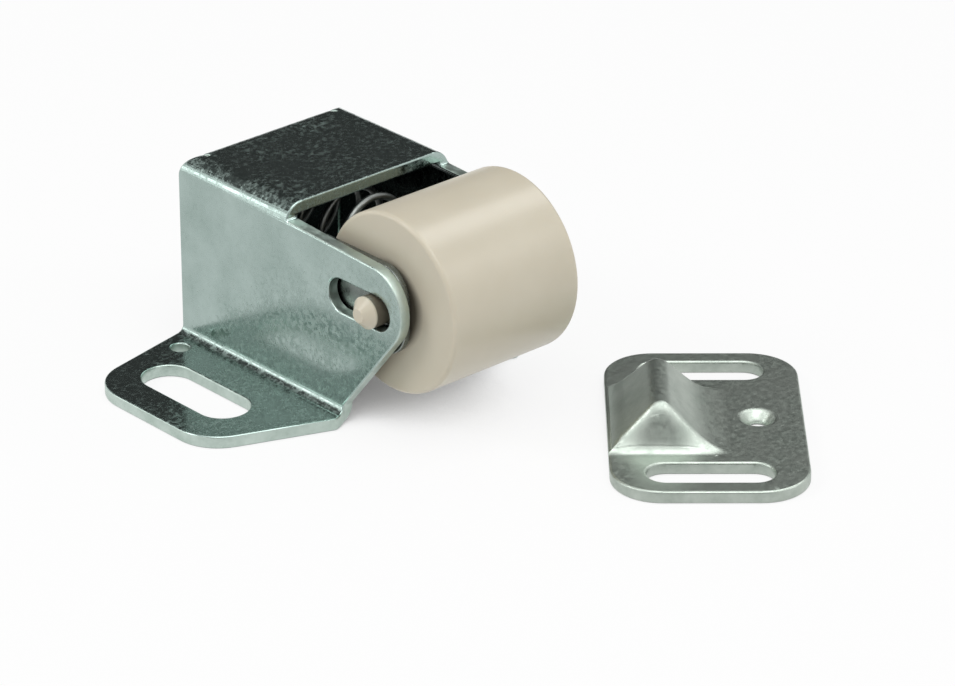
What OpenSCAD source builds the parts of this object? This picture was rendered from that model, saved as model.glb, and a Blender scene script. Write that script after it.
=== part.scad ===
// Roller catch: a sprung roller in a folded steel case, and the strike plate that it snaps over.
// Millimetres. The origin is on the underside, midway between the two flange slots.
// X runs along the roller's axis, the roller faces -Y, and +Z is up.

/* [Case] */
// Outer width across the two cheeks
case_w = 20; // [19.6:0.1:21]
// Height of the top panel's outer face above the underside
case_h = 19.4; // [19.2:0.1:20.5]
// Thickness of the folded sheet
sheet_t = 1.2; // [1:0.05:1.3]
// Inside radius of the folds
fold_r = 0.8; // [0.5:0.1:0.9]
// Front edge of the top panel
panel_front_y = -4.8; // [-5:0.05:-4.5]
// Back edge of the cheeks
case_back_y = 10.8; // [10:0.1:12]
// Drop from the panel's outer face to the notch where the cheeks run forward
notch_drop = 1.5; // [1.4:0.1:2]

/* [Cheeks] */
// Radius of the round nose
nose_r = 4.05; // [3.9:0.05:4.4]
// Height of the nose's centre above the roller's axis
nose_up = 0.35; // [0:0.05:0.5]
// Where the sloping front edge meets the flange's fold
foot_y = -12.6; // [-13:0.1:-12]
// Width of the guide slot
guide_w = 3.3; // [3.2:0.05:3.5]
// Reach of the guide slot in front of the roller's axis
guide_front = 2.45; // [2.35:0.05:2.8]
// Reach of the guide slot behind the roller's axis
guide_back = 5.95; // [5.85:0.05:6.2]

/* [Flanges] */
// Overall width across the two flanges
flange_w = 46.4; // [44:0.1:50]
// Where the line of the flanges' front edges starts, at the fold
flange_root_y = -13.2; // [-13.5:0.1:-13]
// Slant of the flanges' front edges in degrees
front_slant = 21.6; // [15:0.1:25]
// Slant of the flanges' back edges in degrees
back_slant = 12; // [5:0.5:15]
// Radius of the flanges' outer corners
flange_corner_r = 4.7; // [3:0.1:5]
// Distance between the centres of the two screw slots
screw_spacing = 34.4; // [33:0.1:36]
// Width of a screw slot
screw_slot_w = 5; // [4.2:0.1:5.5]
// End-to-end length of a screw slot
screw_slot_l = 13; // [10:0.1:14]
// Distance between the two nail holes across the case
nail_spacing = 24.8; // [24.4:0.1:26]
// Distance of the nail holes behind the screw slots' middle
nail_y = 8.2; // [7:0.1:9]
// Diameter of a nail hole
nail_d = 1.8; // [1.5:0.1:2]

/* [Back tab] */
// Width of the tab's neck, where it folds down from the panel
tab_w = 15.2; // [13:0.1:15.4]
// Height of the tab's lower edge
tab_low_z = 4; // [3.6:0.1:7]
// Width of the relief cuts beside the tab
relief_w = 0.4; // [0.3:0.05:0.5]

/* [Roller] */
// Roller's axis behind the origin (negative is in front)
axle_y = -16.6; // [-17:0.05:-16.5]
// Drop of the roller's axis below the panel's inner face
axle_drop = 5.2; // [5.1:0.05:5.6]
// Diameter of the roller
roller_d = 17.4; // [16:0.1:17.5]
// Gap between the roller's ends and the carrier's arms
roller_gap = 0.3; // [0.3:0.05:0.5]
// Radius of the roller's rounded rims
rim_r = 0.4; // [0.2:0.1:1]
// Diameter of the trunnions moulded on the roller's ends
trunnion_d = 3.1; // [2.9:0.05:3.1]
// How far a trunnion stands out of its cheek
trunnion_out = 1.6; // [1:0.1:2]

/* [Carrier] */
// Thickness of the carrier's sheet
carrier_t = 0.7; // [0.6:0.05:0.8]
// Side gap between the carrier and a cheek
carrier_gap = 0.2; // [0.2:0.05:0.3]
// Clear distance from the roller's axis back to the web
web_reach = 9.5; // [9.3:0.05:9.6]
// Reach of the arms in front of the roller's axis
arm_front = 3; // [2.8:0.1:4]
// Height of the arms above the roller's axis
arm_up = 4.2; // [4:0.05:4.5]
// Depth of the arms and the web below the roller's axis
arm_down = 4.6; // [4.2:0.1:4.8]
// Height of the web's shoulders above the roller's axis
shoulder_up = 0.8; // [0.5:0.1:2]
// Radius of the web's round tongue, which backs the spring
tongue_r = 3.4; // [3:0.1:3.6]

/* [Spring] */
// Mean radius of the coil
coil_r = 4.35; // [4:0.05:4.5]
// Diameter of the wire
wire_d = 0.7; // [0.6:0.05:0.8]
// Number of open turns
turns = 5; // [4:1:6]

/* [Strike plate] */
// Width of the plate
strike_w = 18.1; // [17:0.1:19]
// Length of the plate
strike_l = 28.2; // [27:0.1:30]
// Radius of the plate's corners
strike_corner_r = 4.6; // [3:0.1:5]
// Distance between the centres of its two slots
strike_spacing = 20.6; // [20:0.1:21]
// End-to-end length of its slots
strike_slot_l = 11.6; // [10:0.1:12]
// Width of its slots
strike_slot_w = 3.7; // [3.2:0.1:4]
// Width of the ridge's foot
ridge_w = 9.4; // [8:0.1:9.6]
// Length of the ridge's foot
ridge_l = 12.6; // [11:0.1:13]
// Height above the underside where the two slopes of the ridge would meet, before its crest is rounded
ridge_h = 5.9; // [5:0.1:6.4]
// How far the crest stops short of the foot at each end
hip_inset = 1.4; // [0.8:0.05:1.8]
// Radius along the crest
crest_r = 1.3; // [1.1:0.1:1.6]
// Radius of the hollow where the ridge runs out into the plate
flare_r = 1.2; // [0.8:0.1:1.6]
// Middle of the plate across the catch
strike_x = 13.6; // [13:0.1:20]
// Middle of the plate along the catch
strike_y = -35.9; // [-45:0.1:-35]
// Turn of the plate as it lies beside the catch, in degrees
strike_turn = -42; // [-60:1:0]

/* [Hidden] */
$fn = 96;

steel = "#a2b1ac";
dark_steel = "#6c7873";
cream = "#cec9b6";

// A cut runs this far past the faces that it opens
past = 1;

half_w = case_w / 2;
inner_half_w = half_w - sheet_t;
fold_out_r = fold_r + sheet_t;
// The cheeks rise straight from here, where the flanges' folds end
fold_z = sheet_t + fold_r;
fold_x = half_w + fold_r;
// The notch under the panel's front corner
notch_z = case_h - notch_drop;
notch_r = 0.3;
axle_z = case_h - sheet_t - axle_drop;
nose = [axle_y, axle_z + nose_up];

flange_run = flange_w / 2 - fold_x;
flange_front_y = flange_root_y + flange_run * tan(front_slant);
// The fold's end is cut back from this far out on the flange
root_clear = 0.4;
flange_back_y = case_back_y - flange_run * tan(back_slant);

// The back tab's top run reaches this far into the panel
tab_root = 6;
tab_corner_r = 2.5;
// Below the relief cuts the tab widens to this clearance from the cheeks, and closes the case's back
tab_clear = 0.2;
ear_r = 0.4;

// The pressed seats that keep the spring's ends in place
seat_r = 2.6;
seat_hollow_r = 1.6;
seat_edge_r = 0.6;
tab_seat_out = 1.4;
web_seat_out = 1.2;

arm_out_x = inner_half_w - carrier_gap;
arm_in_x = arm_out_x - carrier_t;
web_front_y = axle_y + web_reach;
web_back_y = web_front_y + carrier_t;
carrier_fold_r = 0.3;
arm_nose_r = 3;
// The arms end short of the web's fold, down to its shoulders
arm_rear = web_reach - carrier_fold_r;
arm_rear_r = 1;
// Radial play of a trunnion in the carrier
bearing_play = 0.05;

roller_half_l = arm_in_x - roller_gap;
trunnion_end_x = half_w + trunnion_out;
trunnion_chamfer = 0.9;

// Play that keeps the spring's ends off the two faces that it bears on
spring_play = 0.05;
spring_front_y = web_back_y + spring_play;
spring_back_y = case_back_y - sheet_t - spring_play;
wire_sides = 14;
ring_sides = 18;
turn_steps = 28;
// Turn of the coil about its own axis, as it sits in the case
coil_phase = 139;

nail_hole = [4.8, 0.6];
nail_hole_d = 1.7;
nail_sink_d = 3.4;
nail_sink_deep = 0.9;
ridge_x = (ridge_w - strike_w) / 2;
// The ridge's foot has rounded corners, a flare that ends within this reach, and a wall thinned by pressing
foot_r = 1;
flare_reach = flare_r;
press_wall = 1;

// Corner rounding: the two neighbours of a corner, its half angle, and where its arc starts, ends and centres
function unit(v) = v / norm(v);
function to_last(p, i) = unit(p[(i + len(p) - 1) % len(p)] - p[i]);
function to_next(p, i) = unit(p[(i + 1) % len(p)] - p[i]);
function half_angle(p, i) = acos(to_last(p, i) * to_next(p, i)) / 2;
function arc_centre(p, i, r) = p[i] + unit(to_last(p, i) + to_next(p, i)) * r / sin(half_angle(p, i));
function is_convex(p, i) = cross(to_next(p, i), to_last(p, i)) > 0;
function arc_ends(p, i, r) =
    let (run = r / tan(half_angle(p, i)))
    r == 0 ? [p[i]] : [p[i] + to_last(p, i) * run, p[i] + to_next(p, i) * run];

// Where a line from point p touches a circle, on the side that sign picks
function touch_point(p, centre, r, sign) =
    let (d = p - centre)
    let (a = atan2(d[1], d[0]) + sign * acos(r / norm(d)))
    centre + r * [cos(a), sin(a)];

// A polygon, given anticlockwise, whose corners are true arcs of the radii given
module rounded(p, radii) {
    corners = [0:len(p) - 1];
    difference() {
        union() {
            polygon([for (i = corners) each arc_ends(p, i, radii[i])]);
            for (i = corners) if (radii[i] > 0 && is_convex(p, i)) intersection() {
                ends = arc_ends(p, i, radii[i]);
                translate(arc_centre(p, i, radii[i])) circle(radii[i]);
                polygon([ends[0], p[i], ends[1]]);
            }
        }
        for (i = corners) if (radii[i] > 0 && !is_convex(p, i))
            translate(arc_centre(p, i, radii[i])) circle(radii[i]);
    }
}

// A slot's outline along the drawing's first axis
module slot_outline(length, width) {
    square([length - width, width], center = true);
    for (side = [-1, 1]) translate([side * (length - width) / 2, 0]) circle(width / 2);
}

// Draws a (y, z) outline and extrudes it along X, centred
module along_x(length) rotate([90, 0, 90]) linear_extrude(length, center = true) children();

// Draws an (x, z) outline and extrudes it along Y between two places
module along_y(from, to) translate([0, to, 0]) rotate([90, 0, 0]) linear_extrude(to - from) children();

// Turns a piece that stands on Z so that it points along +Y from a face at the axle's height
module on_face(y, facing) translate([0, y, axle_z]) rotate([-90 * facing, 0, 0]) children();

// The case's section across X: flange, cheek, panel, cheek and flange in one sheet
module case_section() {
    edge = flange_w / 2 + past;
    top = case_h - sheet_t;
    rounded(
        [
            [-edge, 0], [-inner_half_w, 0], [-inner_half_w, top], [inner_half_w, top],
            [inner_half_w, 0], [edge, 0], [edge, sheet_t], [half_w, sheet_t],
            [half_w, case_h], [-half_w, case_h], [-half_w, sheet_t], [-edge, sheet_t]
        ],
        [
            0, fold_out_r, fold_r, fold_r, fold_out_r, 0,
            0, fold_r, fold_out_r, fold_out_r, fold_r, 0
        ]
    );
}

// The cheeks and the panel as seen from the side
module cheek_outline() {
    notch = [panel_front_y, notch_z];
    foot = [foot_y, fold_z];
    upper = touch_point(notch, nose, nose_r, 1);
    lower = touch_point(foot, nose, nose_r, -1);
    rounded(
        [
            foot, [case_back_y, fold_z], [case_back_y, case_h], [panel_front_y, case_h],
            notch, upper, nose, lower
        ],
        [0, 0, fold_out_r, 0, notch_r, 0, 0, 0]
    );
    translate(nose) circle(nose_r);
}

// The two flanges as seen from above, right across the case
module flange_outline() {
    edge = flange_w / 2;
    root_x = fold_x + root_clear;
    root_y = flange_root_y + root_clear * tan(front_slant);
    rounded(
        [
            [-half_w, foot_y], [half_w, foot_y], [root_x, root_y], [edge, flange_front_y], [edge, flange_back_y],
            [fold_x, case_back_y], [-fold_x, case_back_y],
            [-edge, flange_back_y], [-edge, flange_front_y], [-root_x, root_y]
        ],
        [0, 0, 0, flange_corner_r, flange_corner_r, 0, 0, flange_corner_r, flange_corner_r, 0]
    );
}

// The tab that folds down from the panel's back edge, with ears and rounded lower corners
module back_tab() {
    neck = tab_w / 2;
    ear = inner_half_w - tab_clear;
    ear_z = case_h - fold_out_r - relief_w;
    intersection() {
        along_x(2 * ear) rounded(
            [
                [case_back_y, tab_low_z], [case_back_y, case_h], [case_back_y - tab_root, case_h],
                [case_back_y - tab_root, case_h - sheet_t], [case_back_y - sheet_t, case_h - sheet_t],
                [case_back_y - sheet_t, tab_low_z]
            ],
            [0, fold_out_r, 0, 0, fold_r, 0]
        );
        along_y(case_back_y - tab_root - past, case_back_y + past) rounded(
            [
                [-ear, tab_low_z], [ear, tab_low_z], [ear, ear_z], [neck, ear_z],
                [neck, case_h + past], [-neck, case_h + past], [-neck, ear_z], [-ear, ear_z]
            ],
            [tab_corner_r, tab_corner_r, ear_r, 0, 0, 0, 0, ear_r]
        );
    }
}

// A round seat pressed out of a sheet, standing this far from the face at z = 0
module spring_seat(out) {
    rotate_extrude() rounded(
        [[0, -sheet_t / 2], [seat_r, -sheet_t / 2], [seat_r, out], [0, out]],
        [0, 0, seat_edge_r, 0]
    );
}

// The window that frees the back tab from the side folds
module tab_window() {
    wide = tab_w + 2 * relief_w;
    translate([-wide / 2, case_back_y - fold_out_r, case_h - fold_out_r - past])
        cube([wide, fold_out_r + past, fold_out_r + 2 * past]);
}

module case() {
    color(steel) difference() {
        union() {
            difference() {
                intersection() {
                    along_y(foot_y - 2 * nose_r, case_back_y + past) case_section();
                    union() {
                        along_x(case_w + 2 * past) cheek_outline();
                        linear_extrude(fold_z) flange_outline();
                    }
                }
                tab_window();
            }
            back_tab();
            on_face(case_back_y - sheet_t, -1) spring_seat(tab_seat_out);
        }
        translate([0, axle_y + (guide_back - guide_front) / 2, axle_z])
            along_x(case_w + 2 * past) slot_outline(guide_front + guide_back, guide_w);
        for (side = [-1, 1]) {
            translate([side * screw_spacing / 2, 0, -past]) rotate(90)
                linear_extrude(sheet_t + 2 * past) slot_outline(screw_slot_l, screw_slot_w);
            translate([side * nail_spacing / 2, nail_y, -past]) cylinder(h = sheet_t + 2 * past, d = nail_d);
        }
        on_face(case_back_y + past, -1) cylinder(h = tab_seat_out + past, r = seat_hollow_r);
    }
}

// The carrier's U as seen from above
module carrier_section() {
    front_y = axle_y - arm_front - past;
    fold_outside_r = carrier_fold_r + carrier_t;
    rounded(
        [
            [-arm_out_x, front_y], [-arm_in_x, front_y], [-arm_in_x, web_front_y], [arm_in_x, web_front_y],
            [arm_in_x, front_y], [arm_out_x, front_y], [arm_out_x, web_back_y], [-arm_out_x, web_back_y]
        ],
        [0, 0, carrier_fold_r, carrier_fold_r, 0, 0, fold_outside_r, fold_outside_r]
    );
}

// The carrier's arms as seen from the side, about the roller's axis
module arm_outline() {
    back = web_reach + carrier_t;
    rounded(
        [
            [-arm_front, -arm_down], [back, -arm_down], [back, shoulder_up], [arm_rear, shoulder_up],
            [arm_rear, arm_up], [-arm_front, arm_up]
        ],
        [arm_nose_r, 0, 0, 0, arm_rear_r, arm_nose_r]
    );
}

module carrier() {
    color(steel) difference() {
        union() {
            intersection() {
                translate([0, 0, axle_z - arm_down]) linear_extrude(arm_down + arm_up) carrier_section();
                translate([0, axle_y, axle_z]) along_x(case_w) arm_outline();
            }
            on_face(web_front_y, 1) cylinder(h = carrier_t, r = tongue_r);
            on_face(web_back_y, 1) spring_seat(web_seat_out);
        }
        translate([0, axle_y, axle_z]) rotate([0, 90, 0])
            cylinder(h = case_w, r = trunnion_d / 2 + bearing_play, center = true);
        on_face(web_front_y - past, 1) cylinder(h = web_seat_out + past, r = seat_hollow_r);
    }
}

// The drum and its two trunnions, turned as one piece about the axis
module roller() {
    pin_r = trunnion_d / 2;
    tip_r = pin_r - trunnion_chamfer;
    tip_x = trunnion_end_x - trunnion_chamfer;
    color(cream) translate([0, axle_y, axle_z]) rotate([0, 90, 0]) rotate_extrude() {
        rounded(
            [
                [0, -roller_half_l], [roller_d / 2, -roller_half_l],
                [roller_d / 2, roller_half_l], [0, roller_half_l]
            ],
            [0, rim_r, rim_r, 0]
        );
        polygon([
            [0, -trunnion_end_x], [tip_r, -trunnion_end_x], [pin_r, -tip_x],
            [pin_r, tip_x], [tip_r, trunnion_end_x], [0, trunnion_end_x]
        ]);
    }
}

// The coil: a closed ring at each end, and open turns of round wire between them
module spring() {
    wire_r = wire_d / 2;
    run = spring_back_y - spring_front_y - wire_d;
    wire_rise = 360 * turns / run;
    // The flat cut through a sloping round wire is a bent oval
    cut = [
        for (k = [0:wire_sides - 1])
            let (a = 360 * k / wire_sides, r = coil_r + wire_r * cos(a), turned = wire_rise * wire_r * sin(a))
            r * [cos(turned), sin(turned)]
    ];
    color(dark_steel) translate([0, spring_front_y + wire_r, axle_z]) rotate([-90, 0, 0]) rotate(coil_phase) {
        linear_extrude(run, twist = -360 * turns, slices = turn_steps * turns, $fn = wire_sides) polygon(cut);
        for (z = [0, run]) translate([0, 0, z]) rotate_extrude($fn = turn_steps)
            translate([coil_r, 0]) circle(wire_r, $fn = ring_sides);
    }
}

// The crest of a gable: a point, or a flat between two points
function crest_points(half, top) = half == 0 ? [[0, top]] : [[half, top], [-half, top]];

// The ridge's outline from one side, on the plate's thickness, with a hollow flare at each foot
module flared_gable(half, crest_half) {
    skirt = half + flare_reach;
    crest = crest_points(crest_half, ridge_h);
    rounded(
        concat(
            [[-skirt, 0], [skirt, 0], [skirt, sheet_t], [half, sheet_t]],
            crest,
            [[-half, sheet_t], [-skirt, sheet_t]]
        ),
        concat([0, 0, 0, flare_r], [for (point = crest) crest_r], [flare_r, 0])
    );
}

// The outline of the hollow under the ridge, one wall further in
module hollow_gable(half, crest_half) {
    crest = crest_points(crest_half, ridge_h - press_wall);
    eaves_z = sheet_t - press_wall;
    rounded(
        concat([[-half, -past], [half, -past], [half, eaves_z]], crest, [[-half, eaves_z]]),
        concat([0, 0, 0], [for (point = crest) crest_r - press_wall], [0])
    );
}

// A rectangle about the middle with four round corners
module round_plate(half_x, half_y, r) {
    rounded(
        [[-half_x, -half_y], [half_x, -half_y], [half_x, half_y], [-half_x, half_y]],
        [r, r, r, r]
    );
}

// The roof-shaped ridge: where its outline across the plate, its side view and its foot meet
module ridge() {
    half_x = ridge_w / 2;
    half_y = ridge_l / 2;
    skirt_y = half_y + flare_reach;
    intersection() {
        along_y(-skirt_y, skirt_y) flared_gable(half_x, 0);
        along_x(ridge_w + 2 * flare_reach) flared_gable(half_y, half_y - hip_inset);
        linear_extrude(ridge_h) round_plate(half_x + flare_reach, skirt_y, foot_r + flare_reach);
    }
}

module ridge_hollow() {
    half_x = ridge_w / 2 - press_wall;
    half_y = ridge_l / 2 - press_wall;
    intersection() {
        along_y(-half_y, half_y) hollow_gable(half_x, 0);
        along_x(ridge_w) hollow_gable(half_y, half_y - hip_inset);
    }
}

module strike_plate() {
    color(dark_steel) translate([strike_x, strike_y, 0]) rotate(strike_turn) difference() {
        union() {
            linear_extrude(sheet_t) round_plate(strike_w / 2, strike_l / 2, strike_corner_r);
            intersection() {
                translate([ridge_x, 0, 0]) ridge();
                linear_extrude(ridge_h) round_plate(strike_w / 2, strike_l / 2, strike_corner_r);
            }
        }
        translate([ridge_x, 0, 0]) ridge_hollow();
        for (side = [-1, 1]) translate([0, side * strike_spacing / 2, -past])
            linear_extrude(sheet_t + 2 * past) slot_outline(strike_slot_l, strike_slot_w);
        translate(nail_hole) {
            translate([0, 0, -past]) cylinder(h = sheet_t + 2 * past, d = nail_hole_d);
            translate([0, 0, sheet_t - nail_sink_deep])
                cylinder(h = nail_sink_deep, d1 = nail_hole_d, d2 = nail_sink_d);
        }
    }
}

case();
carrier();
roller();
spring();
strike_plate();
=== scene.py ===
# %% [markdown]
# A roller catch holds a cupboard door shut. A cream plastic roller sits in a folded steel case, a spring
# pushes it forward, and it snaps over the ridge of a strike plate on the door.
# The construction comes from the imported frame, in metres, and this script gives it its finish.

# %% Load the frame
import math

import bmesh
import bpy
from mathutils import Matrix, Vector


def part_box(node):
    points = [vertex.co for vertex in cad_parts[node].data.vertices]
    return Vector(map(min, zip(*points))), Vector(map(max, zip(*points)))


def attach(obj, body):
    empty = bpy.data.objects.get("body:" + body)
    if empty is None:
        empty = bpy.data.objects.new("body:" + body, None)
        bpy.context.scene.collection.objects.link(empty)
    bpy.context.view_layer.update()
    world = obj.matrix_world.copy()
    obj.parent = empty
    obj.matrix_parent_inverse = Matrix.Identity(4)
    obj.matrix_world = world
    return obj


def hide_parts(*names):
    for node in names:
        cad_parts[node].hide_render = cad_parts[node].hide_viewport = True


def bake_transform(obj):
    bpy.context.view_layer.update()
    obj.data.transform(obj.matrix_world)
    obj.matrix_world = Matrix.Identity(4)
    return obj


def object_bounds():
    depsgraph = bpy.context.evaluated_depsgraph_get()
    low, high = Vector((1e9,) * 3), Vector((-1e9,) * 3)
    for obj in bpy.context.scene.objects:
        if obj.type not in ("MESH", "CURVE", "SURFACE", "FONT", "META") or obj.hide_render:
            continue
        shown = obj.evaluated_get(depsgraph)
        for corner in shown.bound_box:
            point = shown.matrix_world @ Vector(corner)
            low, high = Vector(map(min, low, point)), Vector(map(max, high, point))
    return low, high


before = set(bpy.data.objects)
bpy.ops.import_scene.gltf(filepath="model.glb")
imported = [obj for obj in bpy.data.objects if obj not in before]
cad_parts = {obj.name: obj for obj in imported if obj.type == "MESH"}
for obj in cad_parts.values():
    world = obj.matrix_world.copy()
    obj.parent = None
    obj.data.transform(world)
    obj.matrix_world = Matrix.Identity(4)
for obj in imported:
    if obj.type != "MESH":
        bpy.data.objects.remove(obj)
cad_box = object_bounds()
scene = bpy.context.scene
MM = 0.001

# %% [markdown]
# The photograph was taken with a long lens, from the left front and a little above. A long lens keeps
# parallel edges almost parallel, so the camera stands far off. Its place is given by two angles and a
# distance around the point that sits in the middle of the picture.

# %% Camera
CAMERA_AZIMUTH = -42.16
CAMERA_ELEVATION = 25.94
CAMERA_DISTANCE = 440.3 * MM
CAMERA_LENS = 181.7
SENSOR_WIDTH = 36
LOOK_AT = Vector((0, -19.85, 7.7)) * MM


def direction(azimuth, elevation):
    """The unit vector from the object towards a place at these angles, azimuth 0 being in front."""
    around, up = math.radians(azimuth), math.radians(elevation)
    return Vector((math.sin(around) * math.cos(up), -math.cos(around) * math.cos(up), math.sin(up)))


def aim(thing, towards, distance):
    """Stands a camera or a lamp in this direction and turns it to the object."""
    thing.location = LOOK_AT + towards * distance
    thing.rotation_euler = towards.to_track_quat("Z", "Y").to_euler()


def make_camera():
    data = bpy.data.cameras.new("camera")
    data.lens = CAMERA_LENS
    data.sensor_width = SENSOR_WIDTH
    data.clip_start = 10 * MM
    camera = bpy.data.objects.new("camera", data)
    scene.collection.objects.link(camera)
    aim(camera, direction(CAMERA_AZIMUTH, CAMERA_ELEVATION), CAMERA_DISTANCE)
    scene.camera = camera
    return camera


print("camera at", make_camera().location)

# %% [markdown]
# Bright zinc plate isn't one even grey. It has cloudy patches where the bath left it duller, fine specks,
# and a sheet that was rolled and bent, so it mirrors its surroundings a little unevenly. Those three
# belong to every plated piece, so they are one node group that each material tunes with its own values.
# A group starts with its sockets: what a material gives it, and what it hands back. Two short helpers
# keep the code readable: one adds a node and sets its values, and one links two sockets.

# %% Plated finish: the group's sockets
FINISH_INPUTS = (
    ("Bright", "NodeSocketColor"),
    ("Dull", "NodeSocketColor"),
    ("Cloud Size", "NodeSocketFloat"),
    ("Smooth", "NodeSocketFloat"),
    ("Rough", "NodeSocketFloat"),
    ("Waviness", "NodeSocketFloat"),
)
FINISH_OUTPUTS = (
    ("Color", "NodeSocketColor"),
    ("Roughness", "NodeSocketFloat"),
    ("Normal", "NodeSocketVector"),
)


def add(tree, kind, **values):
    """A new node. A value goes to the node's input of that name, or else to its own setting."""
    node = tree.nodes.new(kind)
    for name, value in values.items():
        title = name.replace("_", " ").title()
        if title in node.inputs:
            node.inputs[title].default_value = value
        else:
            setattr(node, name, value)
    return node


def link(tree, source, target):
    tree.links.new(source, target)


def new_finish_group():
    group = bpy.data.node_groups.new("plated_finish", "ShaderNodeTree")
    for name, kind in FINISH_INPUTS:
        group.interface.new_socket(name, in_out="INPUT", socket_type=kind)
    for name, kind in FINISH_OUTPUTS:
        group.interface.new_socket(name, in_out="OUTPUT", socket_type=kind)
    return group


plated_finish = new_finish_group()
given = add(plated_finish, "NodeGroupInput").outputs
handed_back = add(plated_finish, "NodeGroupOutput").inputs
print("group:", plated_finish.name, len(FINISH_INPUTS), "inputs", len(FINISH_OUTPUTS), "outputs")

# %% [markdown]
# Three noises carry the finish. The clouds are as wide as each material asks, the specks are well under a
# millimetre, and the waves are about a centimetre long, like the marks of a rolling mill. They read Object
# coordinates, which are metres on the piece, so a noise's scale is one over the size that it should have.

# %% Plated finish: clouds, specks and waves
SPECK_SCALE = 1700
WAVE_SCALE = 110


def make_noises(group, cloud_size):
    place = add(group, "ShaderNodeTexCoord").outputs["Object"]
    cloud_scale = add(group, "ShaderNodeMath", operation="DIVIDE")
    cloud_scale.inputs[0].default_value = 1
    link(group, cloud_size, cloud_scale.inputs[1])
    clouds = add(group, "ShaderNodeTexNoise", detail=5, roughness=0.6)
    specks = add(group, "ShaderNodeTexNoise", scale=SPECK_SCALE, detail=4, roughness=0.75)
    waves = add(group, "ShaderNodeTexNoise", scale=WAVE_SCALE, detail=1, roughness=0.4)
    link(group, cloud_scale.outputs[0], clouds.inputs["Scale"])
    for noise in (clouds, specks, waves):
        link(group, place, noise.inputs["Vector"])
    return [noise.outputs["Fac"] for noise in (clouds, specks, waves)]


clouds, specks, waves = make_noises(plated_finish, given["Cloud Size"])
print("noises:", SPECK_SCALE, WAVE_SCALE, "and one for each material")

# %% [markdown]
# The tint goes from bright to dull with the clouds, and a dusting of specks breaks up their borders.

# %% Plated finish: the tint
CLOUD_EDGES = (0.36, 0.66)
DUSTING = 0.35
DUST_LEVEL = 0.17


def ramp(tree, value, low, high, start=0, end=1):
    """Runs from start to end while the value goes from low to high, and stays level beyond."""
    node = add(tree, "ShaderNodeMapRange", from_min=low, from_max=high, to_min=start, to_max=end)
    link(tree, value, node.inputs["Value"])
    return node.outputs["Result"]


def mix_tints(tree, share, first, second):
    """The first tint where the share is 0, the second where it is 1. A tint is a colour or a socket."""
    mix = add(tree, "ShaderNodeMix", data_type="RGBA")
    link(tree, share, mix.inputs["Factor"])
    for tint, socket in ((first, mix.inputs[6]), (second, mix.inputs[7])):
        if isinstance(tint, tuple):
            socket.default_value = tint
        else:
            link(tree, tint, socket)
    return mix.outputs[2]


def dulled(group):
    """How dull the plate is at a place: the clouds, with specks on top."""
    dusted = add(group, "ShaderNodeMath", operation="MULTIPLY_ADD")
    dusted.inputs[1].default_value = DUSTING
    link(group, specks, dusted.inputs[0])
    link(group, ramp(group, clouds, *CLOUD_EDGES), dusted.inputs[2])
    levelled = add(group, "ShaderNodeMath", operation="SUBTRACT", use_clamp=True)
    levelled.inputs[1].default_value = DUST_LEVEL
    link(group, dusted.outputs[0], levelled.inputs[0])
    return levelled.outputs[0]


plate_tint = mix_tints(plated_finish, dulled(plated_finish), given["Bright"], given["Dull"])
link(plated_finish, plate_tint, handed_back["Color"])
print("tint runs over clouds from", CLOUD_EDGES)

# %% [markdown]
# Frosted specks are what makes a dark reflection look mottled: each one scatters light from all round
# where the smooth plate beside it mirrors a dark card. They gather in the clouds. The waves only tilt the
# surface a little, as a bump, so that long reflections waver.

# %% Plated finish: its gloss and its waves
FROST_EDGES = (0.4, 0.69)
PATCH_EDGES = (0.3, 0.7)
PATCH_SHARES = (0.35, 1.2)
WAVE_DEPTH = 0.4 * MM


def times(tree, first, second):
    product = add(tree, "ShaderNodeMath", operation="MULTIPLY", use_clamp=True)
    link(tree, first, product.inputs[0])
    link(tree, second, product.inputs[1])
    return product.outputs[0]


def make_gloss(group):
    frosted = ramp(group, specks, *FROST_EDGES)
    patchy = ramp(group, clouds, *PATCH_EDGES, *PATCH_SHARES)
    gloss = add(group, "ShaderNodeMix", data_type="FLOAT")
    link(group, times(group, frosted, patchy), gloss.inputs["Factor"])
    link(group, given["Smooth"], gloss.inputs[2])
    link(group, given["Rough"], gloss.inputs[3])
    return gloss.outputs[0]


def make_waves(group):
    bump = add(group, "ShaderNodeBump", distance=WAVE_DEPTH)
    link(group, given["Waviness"], bump.inputs["Strength"])
    link(group, waves, bump.inputs["Height"])
    return bump.outputs["Normal"]


link(plated_finish, make_gloss(plated_finish), handed_back["Roughness"])
link(plated_finish, make_waves(plated_finish), handed_back["Normal"])
print("group:", plated_finish.name, len(plated_finish.nodes), "nodes")

# %% [markdown]
# Each plated piece is the same finish with its own tints: the case is the brightest, the strike plate is
# duller, and the spring's drawn wire is darker still. Where a press shears through the case's sheet, the
# cut is torn and matt, and looks paler than the bright rolled faces, so cuts have a steel of their own.
# Metal takes its colour from Base Color, so metallic is 1 and the mottling goes into colour and roughness.

# %% Materials: plated steel


def new_material(name):
    material = bpy.data.materials.new(name)
    material.use_nodes = True
    return material, material.node_tree, material.node_tree.nodes["Principled BSDF"].inputs


def plated_material(name, **values):
    material, tree, shader = new_material(name)
    shader["Metallic"].default_value = 1
    finish = add(tree, "ShaderNodeGroup", name="finish")
    finish.node_tree = plated_finish
    for key, value in values.items():
        finish.inputs[key.replace("_", " ").title()].default_value = value
    link(tree, finish.outputs["Color"], shader["Base Color"])
    link(tree, finish.outputs["Roughness"], shader["Roughness"])
    link(tree, finish.outputs["Normal"], shader["Normal"])
    return material


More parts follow.
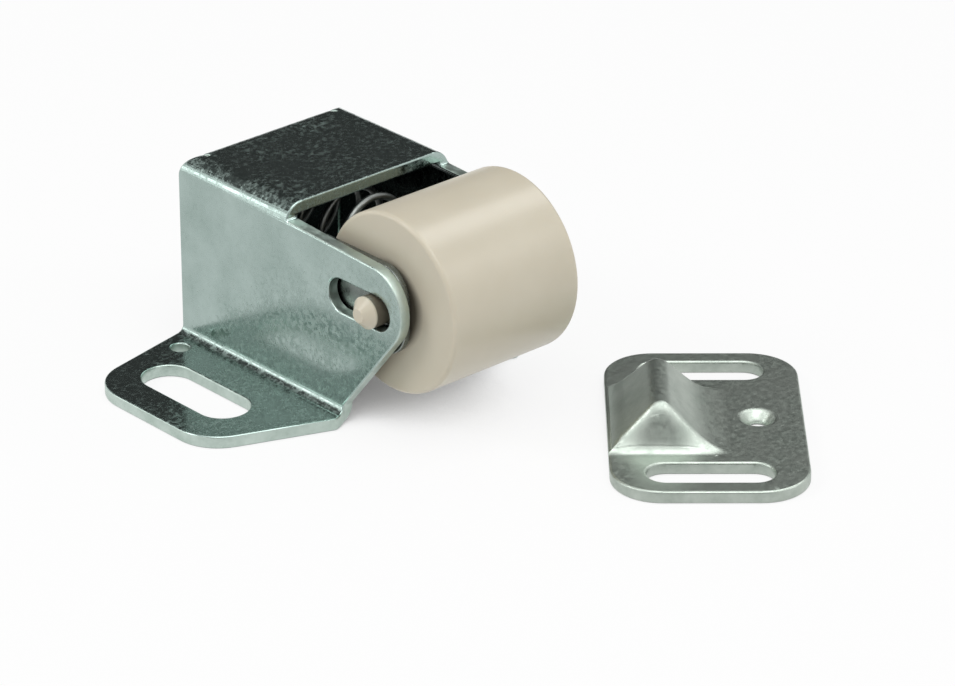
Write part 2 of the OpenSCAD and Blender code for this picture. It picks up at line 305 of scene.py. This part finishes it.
CASE_STEEL = plated_material(
    "case_steel",
    bright=(0.385, 0.475, 0.445, 1),
    dull=(0.32, 0.405, 0.375, 1),
    cloud_size=5 * MM,
    smooth=0.1,
    rough=0.55,
    waviness=0.04,
)
CUT_STEEL = plated_material(
    "cut_steel",
    bright=(0.54, 0.63, 0.58, 1),
    dull=(0.44, 0.53, 0.48, 1),
    cloud_size=2 * MM,
    smooth=0.35,
    rough=0.65,
    waviness=0.03,
)
# The carrier's dark tints are painted shade: it sits in the shade inside the case.
CARRIER_PAINTED_SHADE = plated_material(
    "carrier_painted_shade",
    bright=(0.3, 0.33, 0.31, 1),
    dull=(0.16, 0.18, 0.17, 1),
    cloud_size=4 * MM,
    smooth=0.25,
    rough=0.42,
    waviness=0.04,
)
STRIKE_STEEL = plated_material(
    "strike_steel",
    bright=(0.48, 0.53, 0.48, 1),
    dull=(0.38, 0.43, 0.385, 1),
    cloud_size=2.5 * MM,
    smooth=0.38,
    rough=0.53,
    waviness=0.06,
)
SPRING_STEEL = plated_material(
    "spring_steel",
    bright=(0.22, 0.23, 0.22, 1),
    dull=(0.1, 0.11, 0.105, 1),
    cloud_size=2 * MM,
    smooth=0.3,
    rough=0.5,
    waviness=0.02,
)
print("materials:", [material.name for material in bpy.data.materials])

# %% [markdown]
# The case's inside gets painted shade: a dark tint stands in for the shade within the narrow folded case.
# The material finds the inside by its place: a point counts as inside when it lies within the inner faces
# of the cheeks, the panel and the back tab. Object coordinates are in metres in the shared frame, so the
# case's own measures can be used as they are.

# %% The case's painted shade inside
INSIDE_HALF_W = 8.85 * MM
INSIDE_TOP = 18.25 * MM
INSIDE_BACK = 9.65 * MM
BLEND = 0.1 * MM
# Painted shade: the dark tint that the case's inside takes.
INSIDE_SHADE = (0.075, 0.095, 0.09, 1)


def below(tree, value, limit, run=BLEND):
    """1 where the value is under the limit, running to 0 over a short way past it."""
    return ramp(tree, value, limit, limit + run, start=1, end=0)


def split_place(tree, place):
    """The distance from the middle plane, and the Y and Z of a place."""
    parts = add(tree, "ShaderNodeSeparateXYZ")
    link(tree, place, parts.inputs[0])
    off_middle = add(tree, "ShaderNodeMath", operation="ABSOLUTE")
    link(tree, parts.outputs["X"], off_middle.inputs[0])
    return off_middle.outputs[0], parts.outputs["Y"], parts.outputs["Z"]


def paint_inside_shade(material):
    tree = material.node_tree
    off_middle, back, up = split_place(tree, add(tree, "ShaderNodeTexCoord").outputs["Object"])
    between_cheeks = below(tree, off_middle, INSIDE_HALF_W)
    under_panel = below(tree, up, INSIDE_TOP)
    before_tab = below(tree, back, INSIDE_BACK)
    inside = times(tree, times(tree, between_cheeks, under_panel), before_tab)
    # Painted shade wherever the point lies inside the case.
    tint = mix_tints(tree, inside, tree.nodes["finish"].outputs["Color"], INSIDE_SHADE)
    link(tree, tint, tree.nodes["Principled BSDF"].inputs["Base Color"])


paint_inside_shade(CASE_STEEL)
print("inside: half width", INSIDE_HALF_W, "top", INSIDE_TOP, "back", INSIDE_BACK)

# %% [markdown]
# The roller runs in the carrier on two trunnions. Their shanks in the slots get painted shade up to their
# lit tips, and the drum's ends get a ring of painted shadow around them, cast by the cheeks' noses. Both
# lie close to the axle, so the mask is one distance from the axle's line and one from the middle plane.

# %% Where shade is painted on the roller
AXLE = Vector((0, -16.6, 13)) * MM
# The painted shade reaches this far from the axle and stops short of the lit tips.
PAINTED_SHADE_R = 3.3 * MM
PAINTED_SHADE_RUN = 1.1 * MM
LIT_TIP_X = 10.5 * MM


def painted_shade_at_ends(tree, place):
    """1 where shade is painted: on the trunnions and on the drum's ends close to them, 0 on the rest and on
    the lit tips.
    """
    from_axle = add(tree, "ShaderNodeVectorMath", operation="SUBTRACT")
    from_axle.inputs[1].default_value = AXLE
    link(tree, place, from_axle.inputs[0])
    radial = add(tree, "ShaderNodeVectorMath", operation="MULTIPLY")
    radial.inputs[1].default_value = (0, 1, 1)
    link(tree, from_axle.outputs[0], radial.inputs[0])
    radius = add(tree, "ShaderNodeVectorMath", operation="LENGTH")
    link(tree, radial.outputs[0], radius.inputs[0])
    near_axle = below(tree, radius.outputs["Value"], PAINTED_SHADE_R, PAINTED_SHADE_RUN)
    return times(tree, near_axle, below(tree, split_place(tree, place)[0], LIT_TIP_X))


print("painted shade within", PAINTED_SHADE_R, "of the axle at", AXLE)

# %% [markdown]
# The roller is moulded in one piece with its trunnions from a cream nylon. Nylon is a little waxy: light
# goes a short way into it, which softens the edge between light and shade, and its skin is satin, not
# glossy. The roller keeps the shape that it has in CAD, where its rims are already rounded.

# %% The roller's cream plastic
CREAM_DARK = (0.535, 0.49, 0.385, 1)
CREAM_LIGHT = (0.58, 0.535, 0.43, 1)
# The colour of the painted shade on the trunnions and the painted shadow on the drum's ends.
PAINTED_SHADE_BROWN = (0.13, 0.115, 0.085, 1)
CREAM_SCALE = 220
SATIN = (0.28, 0.33)
WAXINESS = 0.15
WAX_DEPTH = 1.5 * MM
WAX_COLOURS = (1, 0.8, 0.6)


def make_cream_plastic():
    material, tree, shader = new_material("cream_plastic")
    shader["Subsurface Weight"].default_value = WAXINESS
    shader["Subsurface Radius"].default_value = WAX_COLOURS
    shader["Subsurface Scale"].default_value = WAX_DEPTH
    place = add(tree, "ShaderNodeTexCoord").outputs["Object"]
    noise = add(tree, "ShaderNodeTexNoise", scale=CREAM_SCALE, detail=2, roughness=0.6)
    link(tree, place, noise.inputs["Vector"])
    shade = noise.outputs["Fac"]
    cream = mix_tints(tree, shade, CREAM_DARK, CREAM_LIGHT)
    # Painted shade on the trunnions and painted shadow on the drum's ends.
    tint = mix_tints(tree, painted_shade_at_ends(tree, place), cream, PAINTED_SHADE_BROWN)
    link(tree, tint, shader["Base Color"])
    link(tree, ramp(tree, shade, 0, 1, *SATIN), shader["Roughness"])
    return material


CREAM_PLASTIC = make_cream_plastic()
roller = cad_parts["roller"]
roller.data.materials.clear()
roller.data.materials.append(CREAM_PLASTIC)
print("roller ->", CREAM_PLASTIC.name)

# %% [markdown]
# The sheet pieces get finished edges, which a CAD solid doesn't need. A CAD mesh comes as loose triangles,
# so a copy of it has its points merged and its flat faces joined before anything is done to it.

# %% Merged copies of the sheet pieces
WELD = 0.002 * MM
FLAT = math.radians(1)


def copy_node(node_name):
    bm = bmesh.new()
    bm.from_mesh(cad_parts[node_name].data)
    bmesh.ops.remove_doubles(bm, verts=bm.verts[:], dist=WELD)
    bmesh.ops.dissolve_degenerate(bm, edges=bm.edges[:], dist=WELD)
    bmesh.ops.dissolve_limit(bm, angle_limit=FLAT, verts=bm.verts[:], edges=bm.edges[:])
    print(node_name, "copied:", len(bm.faces), "faces")
    return bm


case_mesh = copy_node("case")
carrier_mesh = copy_node("carrier")
strike_mesh = copy_node("strike_plate")

# %% [markdown]
# The case's cuts can be told by their width: a cut is as wide as the sheet is thick, so a small face with
# an edge of that length is one. Those faces get the paler cut steel, and the rounds beside them take it.

# %% The case's cut edges
SHEET_T = 1.2 * MM
CUT_FACE = 40 * MM ** 2
CUT_SLACK = 0.01 * MM


def is_cut(face):
    across = any(abs(edge.calc_length() - SHEET_T) < CUT_SLACK for edge in face.edges)
    return across and face.calc_area() < CUT_FACE


cuts = [face for face in case_mesh.faces if is_cut(face)]
for face in cuts:
    face.material_index = 1
print("cut faces:", len(cuts), "of", len(case_mesh.faces))

# %% [markdown]
# Sheet that comes out of a press and a tumbling barrel has no razor edges: each edge is broken by a tenth
# or two of a millimetre, and that thin round is what catches the light. So each edge that turns by more
# than a given angle is rounded. The case is the thicker sheet and gets the wider round. The carrier inside
# it is hardly handled, and its edges stay keener.

# %% Broken edges on the case and the carrier
BROKEN_ANGLE = math.radians(35)
CASE_ROUND = 0.16 * MM
CARRIER_ROUND = 0.1 * MM


def sharp_edges(bm):
    return [edge for edge in bm.edges if edge.calc_face_angle(0) > BROKEN_ANGLE]


def break_edges(bm, edges, width):
    bmesh.ops.bevel(
        bm, geom=edges, offset=width, offset_type="OFFSET", segments=3, profile=0.5,
        affect="EDGES", clamp_overlap=False, material=-1,
    )
    print("broken edges:", len(edges), "width", width)


break_edges(case_mesh, sharp_edges(case_mesh), CASE_ROUND)
break_edges(carrier_mesh, sharp_edges(carrier_mesh), CARRIER_ROUND)

# %% [markdown]
# All of a piece is shaded smooth, but the outline of each large flat face is marked sharp, so that the
# round edges don't bend the light on the flats beside them. The piece then takes the place of its CAD
# node, which is hidden, and rides on the same body.

# %% The case and the carrier
LARGE_FACE = 1 * MM ** 2


def new_object(bm, name, *materials):
    mesh = bpy.data.meshes.new(name)
    bm.to_mesh(mesh)
    bm.free()
    thing = bpy.data.objects.new(name, mesh)
    scene.collection.objects.link(thing)
    for material in materials:
        mesh.materials.append(material)
    print(name, "->", len(mesh.polygons), "faces")
    return thing


def make_piece(bm, node_name, slot, body, *materials):
    bmesh.ops.recalc_face_normals(bm, faces=bm.faces[:])
    for face in bm.faces:
        face.smooth = True
    for edge in bm.edges:
        edge.smooth = all(face.calc_area() < LARGE_FACE for face in edge.link_faces)
    piece = new_object(bm, "finished_" + node_name, *materials)
    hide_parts(node_name)
    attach(piece, body)


make_piece(case_mesh, "case", "plated_steel", "frame", CASE_STEEL, CUT_STEEL)
make_piece(carrier_mesh, "carrier", "plated_steel", "carriage", CARRIER_PAINTED_SHADE)

# %% [markdown]
# The strike plate is stamped too, but its ridge is pressed up out of the flat sheet, so the ridge's hips
# and foot run softly into each other, while the rims and slots are only broken like the case's edges.
# A sharp edge is a rim when one of its faces reaches below the sheet's upper side and the edge itself
# doesn't rise above it. The others belong to the ridge or to the hollow under it.

# %% The strike plate: its rims
LEVEL = 0.05
STRIKE_ROUND = 0.22 * MM


def reaches_down(face):
    return any(vert.co.z < SHEET_T - WELD for vert in face.verts)


def is_upper(face):
    return face.normal.z > LEVEL and not reaches_down(face)


def is_hollow(face):
    return LEVEL - 1 < face.normal.z < -LEVEL


def is_rim(edge):
    low = all(vert.co.z < SHEET_T + WELD for vert in edge.verts)
    under_ridge = any(map(is_hollow, edge.link_faces))
    return low and not under_ridge and any(map(reaches_down, edge.link_faces))


rims = [edge for edge in sharp_edges(strike_mesh) if is_rim(edge)]
break_edges(strike_mesh, rims, STRIKE_ROUND)

# %% [markdown]
# A wide bevel down the hips would get caught in the small faces of the crest. Instead, planes cut the
# ridge into a fine net, across and along the plate, so that there are points enough to bend. Only faces
# that lie wholly within the net are cut, and the plate around it stays as it is. First come the net's four
# borders. The plate lies turned on the floor, so places on the ridge are measured in its own directions.

# %% The strike plate: the borders of a net over its ridge
STRIKE_MIDDLE = Vector((13.6, -35.9, 0)) * MM
STRIKE_TURN = Matrix.Rotation(math.radians(-42), 3, "Z")
RIDGE_MIDDLE = STRIKE_MIDDLE + STRIKE_TURN @ Vector((-4.35, 0, 0)) * MM
NET_X = (-4.4 * MM, 6.4 * MM)
NET_Y = (-8 * MM, 8 * MM)


def on_ridge(vert):
    return STRIKE_TURN.transposed() @ (vert.co - RIDGE_MIDDLE)


def cut_across(bm, faces, axis, offset):
    side = Vector((0, 0, 0))
    side[axis] = 1
    edges = list(dict.fromkeys(edge for face in faces for edge in face.edges))
    verts = list(dict.fromkeys(vert for face in faces for vert in face.verts))
    bmesh.ops.bisect_plane(
        bm, geom=verts + edges + faces, dist=WELD,
        plane_co=RIDGE_MIDDLE + STRIKE_TURN @ (side * offset), plane_no=STRIKE_TURN @ side,
    )


for axis, borders in enumerate((NET_X, NET_Y)):
    for border in borders:
        cut_across(strike_mesh, [face for face in strike_mesh.faces if is_upper(face)], axis, border)
print("strike faces with the net's borders:", len(strike_mesh.faces))

# %% [markdown]
# Then the net itself. Its faces are made triangles first, since a plane cuts a triangle cleanly, however
# the flat face was shaped.

# %% The strike plate: the net
NET_STEP = 0.16 * MM


def in_net(vert):
    place = on_ridge(vert)
    return NET_X[0] - WELD < place.x < NET_X[1] + WELD and NET_Y[0] - WELD < place.y < NET_Y[1] + WELD


def net_faces(bm):
    return [face for face in bm.faces if is_upper(face) and all(map(in_net, face.verts))]


bmesh.ops.triangulate(strike_mesh, faces=net_faces(strike_mesh))
for axis, (low, high) in enumerate((NET_X, NET_Y)):
    for number in range(1, round((high - low) / NET_STEP)):
        cut_across(strike_mesh, net_faces(strike_mesh), axis, low + number * NET_STEP)
net = set(net_faces(strike_mesh))
print("net faces:", len(net))

# %% [markdown]
# A press draws the sheet over a blunt tool, so two slopes never meet in a sharp line. A soft minimum says
# just that: far from a hip it is the lower of two slopes, and near the hip it runs from one to the other
# in a curve as wide as its reach. The crest, the hips and the feet each have their own reach.

# %% The strike plate: the form of its ridge
RIDGE_HALF_W = 4.7 * MM
RIDGE_HALF_L = 6.3 * MM
END_STEEPNESS = 4.7 / 1.4
CREST_REACH = 2.16 * MM
HIP_REACH = 2.9 * MM
SLOPE_FOOT_REACH = 1.8 * MM
END_FOOT_REACH = 2.6 * MM


def soft_min(first, second, reach):
    return min(first, second) - max(reach - abs(first - second), 0) ** 2 / (4 * reach)


def roof(place):
    slopes = soft_min(RIDGE_HALF_W - place.x, RIDGE_HALF_W + place.x, CREST_REACH)
    ends = (RIDGE_HALF_L - abs(place.y)) * END_STEEPNESS
    height = soft_min(slopes, ends, HIP_REACH)
    at_end = min(max(0.5 + (slopes - ends) / (2 * HIP_REACH), 0), 1)
    foot_reach = SLOPE_FOOT_REACH + (END_FOOT_REACH - SLOPE_FOOT_REACH) * at_end
    return SHEET_T - soft_min(-height, 0, foot_reach)


print("crest at", roof(Vector((0, 0, 0))))

# %% [markdown]
# The net's points take the height of that form. Close to the plate's left edge, where the ridge ends in a
# plain cut, they keep the height that they have in CAD. Points that lie close together are then merged.
# They are put in order along a slanting line first, so that each run keeps the same one of two.

# %% The strike plate: its pressed ridge
FADE = 1 * MM
MERGE_LINE = Vector((1, 0.7, 0.4))


def press_ridge(bm, net):
    moves = []
    for vert in bm.verts:
        if vert.link_faces and all(face in net for face in vert.link_faces):
            place = on_ridge(vert)
            share = min((place.x - NET_X[0]) / FADE, 1)
            moves.append((roof(place) - vert.co.z) * share)
            vert.co.z += moves[-1]
    bm.verts.sort(key=lambda vert: vert.co.dot(MERGE_LINE))
    bmesh.ops.remove_doubles(bm, verts=bm.verts[:], dist=WELD)
    print("pressed points:", len(moves), "lowest and highest move:", min(moves), max(moves))


press_ridge(strike_mesh, net)
make_piece(strike_mesh, "strike_plate", "strike_steel", "frame", STRIKE_STEEL)

# %% [markdown]
# The spring is a round wire wound into a helix. Spinning a small circle about the axis, with a step along
# it, makes such a wire: first the open turns, and then one turn at little more than a wire's pitch, which
# closes the end that sits against the case's back tab. Its length and width come from the CAD node's box.

# %% The spring's wire
SPRING_LOW, SPRING_HIGH = (Vector(corner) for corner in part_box("spring"))
WIRE_R = 0.35 * MM
WIRE_SIDES = 14
WIRE_END = math.radians(178)
OPEN_TURNS = 4.75
TURN_STEPS = 40
CLOSED_PITCH = 0.74 * MM


def start_wire(bm, centre, coil_r):
    """A circle of the wire's section, standing where the wire begins."""
    ring = bmesh.ops.create_circle(bm, segments=WIRE_SIDES, radius=WIRE_R)["verts"]
    around = Matrix.Translation(centre) @ Matrix.Rotation(WIRE_END, 4, "Y")
    bmesh.ops.transform(bm, matrix=around @ Matrix.Translation((coil_r, 0, 0)), verts=ring)


def wind_spring():
    middle = (SPRING_LOW + SPRING_HIGH) / 2
    coil_r = (SPRING_HIGH.x - SPRING_LOW.x) / 2 - WIRE_R
    run = SPRING_HIGH.y - SPRING_LOW.y - 2 * WIRE_R
    centre = Vector((middle.x, SPRING_LOW.y + WIRE_R, middle.z))
    bm = bmesh.new()
    start_wire(bm, centre, coil_r)
    live = bm.edges[:] + bm.verts[:]
    first_ring = bm.edges[:]
    for turns, pitch in ((OPEN_TURNS, (run - CLOSED_PITCH) / OPEN_TURNS), (1, CLOSED_PITCH)):
        live = bmesh.ops.spin(
            bm, geom=live, cent=centre, axis=(0, 1, 0), dvec=(0, pitch / TURN_STEPS, 0),
            angle=turns * 2 * math.pi, steps=round(turns * TURN_STEPS),
        )["geom_last"]
    last_ring = [part for part in live if isinstance(part, bmesh.types.BMEdge)]
    for ring in (first_ring, last_ring):
        bmesh.ops.contextual_create(bm, geom=ring)
    bmesh.ops.recalc_face_normals(bm, faces=bm.faces[:])
    for face in bm.faces:
        face.smooth = len(face.verts) == 4
    return bm


spring = new_object(wind_spring(), "coil_spring", SPRING_STEEL)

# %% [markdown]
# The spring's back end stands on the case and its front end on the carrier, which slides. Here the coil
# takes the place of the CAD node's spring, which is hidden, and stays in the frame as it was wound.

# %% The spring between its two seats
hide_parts("spring")
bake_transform(spring)
print("spring runs from", SPRING_LOW.y, "to", SPRING_HIGH.y)

# %% [markdown]
# The studio is a white room. Its floor and its walls read as white to the camera and in the metal's
# reflections, but light the object at a plain level. Light Path tells the two apart.

# %% World
FILL_STRENGTH = 0.55
WHITE = (1, 1, 1, 1)


def white_to_the_eye(tree):
    """1 on camera, glossy and transmission rays, and 0 on the rays that light the object."""
    rays = add(tree, "ShaderNodeLightPath")
    seen = add(tree, "ShaderNodeMath", operation="ADD")
    link(tree, rays.outputs["Is Camera Ray"], seen.inputs[0])
    link(tree, rays.outputs["Is Glossy Ray"], seen.inputs[1])
    both = add(tree, "ShaderNodeMath", operation="ADD", use_clamp=True)
    link(tree, seen.outputs[0], both.inputs[0])
    link(tree, rays.outputs["Is Transmission Ray"], both.inputs[1])
    return both.outputs[0]


def show(tree, kind, share, hidden, seen):
    """The hidden shader where the share is 0 and the seen one where it is 1."""
    mix = add(tree, "ShaderNodeMixShader")
    link(tree, share, mix.inputs[0])
    link(tree, hidden.outputs[0], mix.inputs[1])
    link(tree, seen.outputs[0], mix.inputs[2])
    link(tree, mix.outputs[0], add(tree, kind).inputs["Surface"])


def make_world():
    world = bpy.data.worlds.new("studio")
    scene.world = world
    world.use_nodes = True
    tree = world.node_tree
    tree.nodes.clear()
    fill = add(tree, "ShaderNodeBackground", color=WHITE, strength=FILL_STRENGTH)
    white = add(tree, "ShaderNodeBackground", color=WHITE, strength=1)
    show(tree, "ShaderNodeOutputWorld", white_to_the_eye(tree), fill, white)


make_world()
print("world:", scene.world.name, "fill", FILL_STRENGTH)

# %% [markdown]
# The floor does the same, but it has to keep the object's shadow, so it is plain paper wherever the object
# stands close over it. Ambient Occlusion measures that: it falls where much of the sky is covered.

# %% Floor
FLOOR_HALF = 3.0
FLOOR_GAP = 0.02 * MM
PAPER = (0.8, 0.8, 0.8, 1)
COVER_DISTANCE = 30 * MM
COVER_EDGES = (0.04, 0.28)
MOST_WHITE = 0.85


def paper_material():
    material, tree, _ = new_material("white_floor")
    tree.nodes.clear()
    paper = add(tree, "ShaderNodeBsdfDiffuse", color=PAPER)
    glow = add(tree, "ShaderNodeEmission", color=WHITE, strength=1)
    cover = add(tree, "ShaderNodeAmbientOcclusion", samples=8, distance=COVER_DISTANCE)
    open_sky = ramp(tree, cover.outputs["AO"], *COVER_EDGES, end=MOST_WHITE)
    share = times(tree, white_to_the_eye(tree), open_sky)
    show(tree, "ShaderNodeOutputMaterial", share, paper, glow)
    return material


def make_floor():
    bm = bmesh.new()
    bmesh.ops.create_grid(bm, x_segments=1, y_segments=1, size=FLOOR_HALF)
    floor = new_object(bm, "floor", paper_material())
    floor.location.z = cad_box[0].z - FLOOR_GAP


make_floor()

# %% [markdown]
# A product photographer lights bright metal by choosing what it mirrors. Three soft lamps give the light:
# a large one overhead, a small fill in front, which is kept out of reflections, and one from the left.

# %% Lamps


def make_lamp(name, azimuth, elevation, distance, size, power):
    data = bpy.data.lights.new(name, "AREA")
    data.size = size
    data.energy = power
    lamp = bpy.data.objects.new(name, data)
    scene.collection.objects.link(lamp)
    aim(lamp, direction(azimuth, elevation), distance)
    return lamp


make_lamp("overhead", azimuth=-20, elevation=72, distance=0.6, size=0.5, power=1.9)
front_fill = make_lamp("front_fill", azimuth=40, elevation=22, distance=0.7, size=0.16, power=0.45)
front_fill.visible_glossy = False
make_lamp("side_light", azimuth=-120, elevation=38, distance=0.7, size=0.25, power=1.12)
print("lamps:", [lamp.name for lamp in bpy.data.lights])

# %% [markdown]
# The rest is cards that show only in reflections. A dark card behind the object darkens its level faces,
# which would otherwise mirror a white room, and a dark one in front does it for the faces that look at
# the camera. Bright cards draw the line along the panel's fold, the hips of the strike's ridge and the
# streak on the drum, and a grey one dims the rest of the fold.

# %% Cards


def card_material(name, shade):
    material, tree, _ = new_material(name)
    tree.nodes.clear()
    glow = add(tree, "ShaderNodeEmission", color=(shade, shade, shade, 1), strength=1)
    link(tree, glow.outputs[0], add(tree, "ShaderNodeOutputMaterial").inputs["Surface"])
    return material


def make_card(name, azimuth, elevation, distance, width, height, shade):
    towards = direction(azimuth, elevation)
    turn = towards.to_track_quat("Z", "Y").to_matrix().to_4x4()
    place = Matrix.Translation(LOOK_AT + towards * distance) @ turn @ Matrix.Diagonal((width, height, 1, 1))
    bm = bmesh.new()
    bmesh.ops.create_grid(bm, x_segments=1, y_segments=1, size=0.5)
    bmesh.ops.transform(bm, matrix=place, verts=bm.verts[:])
    card = new_object(bm, name, card_material(name, shade))
    card.visible_camera = False
    card.visible_diffuse = False
    card.visible_transmission = False
    card.visible_shadow = False


make_card("dark_card", azimuth=138, elevation=28, distance=0.7, width=0.95, height=0.8, shade=0.06)
make_card("dark_room", azimuth=-42, elevation=10, distance=0.7, width=0.6, height=0.5, shade=0.08)
make_card("fold_card", azimuth=-134, elevation=11, distance=0.7, width=0.25, height=0.14, shade=3)
make_card("grey_card", azimuth=-150, elevation=39, distance=0.72, width=0.55, height=0.32, shade=0.1)
make_card("hip_card", azimuth=37, elevation=38, distance=0.7, width=0.2, height=0.22, shade=3.5)
make_card("streak_card", azimuth=94, elevation=53, distance=0.7, width=0.25, height=0.22, shade=4.5)

# %% [markdown]
# Last, colours are shown as they are written.

# %% Colours as written
scene.view_settings.view_transform = "Standard"
